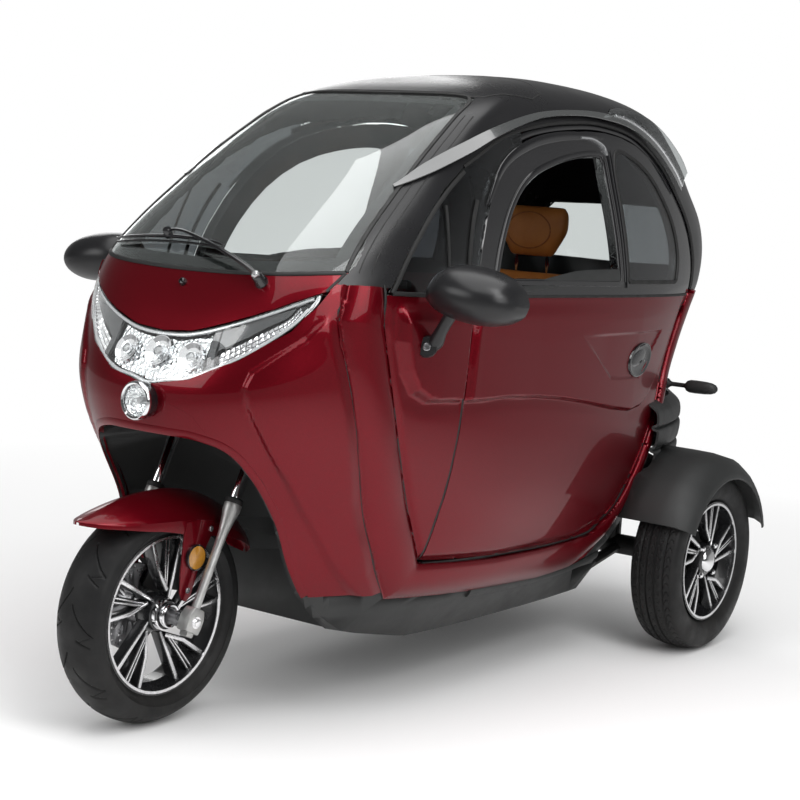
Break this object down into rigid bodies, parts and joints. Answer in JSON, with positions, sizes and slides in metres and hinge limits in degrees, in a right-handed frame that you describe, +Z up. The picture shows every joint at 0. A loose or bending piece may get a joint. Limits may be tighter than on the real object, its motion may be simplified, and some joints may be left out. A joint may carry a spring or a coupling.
{
  "type": "enclosed electric tricycle",
  "caption": "Compact enclosed electric tricycle with a closed cabin, one steered front wheel and a wide rear axle.",
  "frame": {"origin": "the centre of the overall box on the ground", "axes": "+X to the vehicle's left, -Y to the front, +Z up"},
  "size_m": [1.36, 2.31, 1.512],
  "materials": {
    "red_paint": "high gloss metallic lacquer",
    "satin_black": "satin",
    "gloss_black": "gloss",
    "matte_plastic": "fine texture",
    "smoked_plastic": "smoked, clear",
    "tinted_glass": "tinted",
    "clear_lamp": "clear",
    "tyre": "matt",
    "black_alloy": "black lacquer with machined faces",
    "cast_aluminium": "cast",
    "steel": "ground",
    "chrome": "polished",
    "frame_paint": "black semi gloss",
    "tan_leather": "soft grain",
    "cabin_trim": "matt"
  },
  "bodies": {
    "vehicle": {"belly_pan": "matte_plastic", "front_cowl": "red_paint", "hood": "red_paint", "headlamp": "clear_lamp", "round_lamp": "clear_lamp", "windscreen": "tinted_glass", "roof": "satin_black", "rear_panel": "satin_black", "rear_window": "tinted_glass", "tail_panel": "red_paint", "wheel_arch_liner": "matte_plastic", "rear_tub": "matte_plastic", "rear_fascia": "matte_plastic", "seat_base": "cabin_trim", "seat_cushion": "tan_leather", "seat_back": "tan_leather", "luggage_deck": "cabin_trim", "dashboard": "cabin_trim", "frame": "frame_paint", "rear_axle": "frame_paint", "wiper": "frame_paint", "quarter_panel_left": "red_paint", "front_quarter_glass_left": "tinted_glass", "door_ring_left": "red_paint", "door_hinge_left": "steel", "rear_fender_left": "matte_plastic", "mirror_left": "satin_black", "rear_indicator_left": "matte_plastic", "rain_visor_left": "smoked_plastic", "quarter_panel_right": "red_paint", "front_quarter_glass_right": "tinted_glass", "door_ring_right": "red_paint", "door_hinge_right": "steel", "rear_fender_right": "matte_plastic", "mirror_right": "satin_black", "rear_indicator_right": "matte_plastic", "rain_visor_right": "smoked_plastic"},
    "steering": {"steering_stem": "frame_paint", "fork_leg_left": "cast_aluminium", "fork_leg_right": "cast_aluminium", "front_axle": "chrome", "front_fender": "red_paint", "brake_caliper": "cast_aluminium"},
    "front_wheel": {"front_tyre": "tyre", "front_rim": "black_alloy", "brake_disc": "steel"},
    "rear_wheel_left": {"rear_tyre_left": "tyre", "rear_rim_left": "black_alloy"},
    "rear_wheel_right": {"rear_tyre_right": "tyre", "rear_rim_right": "black_alloy"},
    "door_left": {"door_panel_left": "red_paint", "door_frame_left": "gloss_black", "door_rear_glass_left": "tinted_glass"},
    "door_right": {"door_panel_right": "red_paint", "door_frame_right": "gloss_black", "door_rear_glass_right": "tinted_glass"}
  },
  "joints": [
    {"name": "steering_turn", "type": "hinge", "parent": "vehicle", "child": "steering", "pos_m": [0, -0.88138, 0.22799], "axis": [0, 0.4289, 0.9033], "range_deg": [-38, 38]},
    {"name": "front_wheel_spin", "type": "hinge", "parent": "steering", "child": "front_wheel", "pos_m": [0, -0.913, 0.243], "axis": [1, 0, 0], "continuous": true},
    {"name": "rear_wheel_left_spin", "type": "hinge", "parent": "vehicle", "child": "rear_wheel_left", "pos_m": [0.494, 0.7, 0.2465], "axis": [1, 0, 0], "continuous": true},
    {"name": "rear_wheel_right_spin", "type": "hinge", "parent": "vehicle", "child": "rear_wheel_right", "pos_m": [-0.494, 0.7, 0.2465], "axis": [1, 0, 0], "continuous": true},
    {"name": "door_left_swing", "type": "hinge", "parent": "vehicle", "child": "door_left", "pos_m": [0.431, -0.4007, 0.65], "axis": [0, 0, -1], "range_deg": [0, 62]},
    {"name": "door_right_swing", "type": "hinge", "parent": "vehicle", "child": "door_right", "pos_m": [-0.431, -0.4007, 0.65], "axis": [0, 0, 1], "range_deg": [0, 62]}
  ]
}
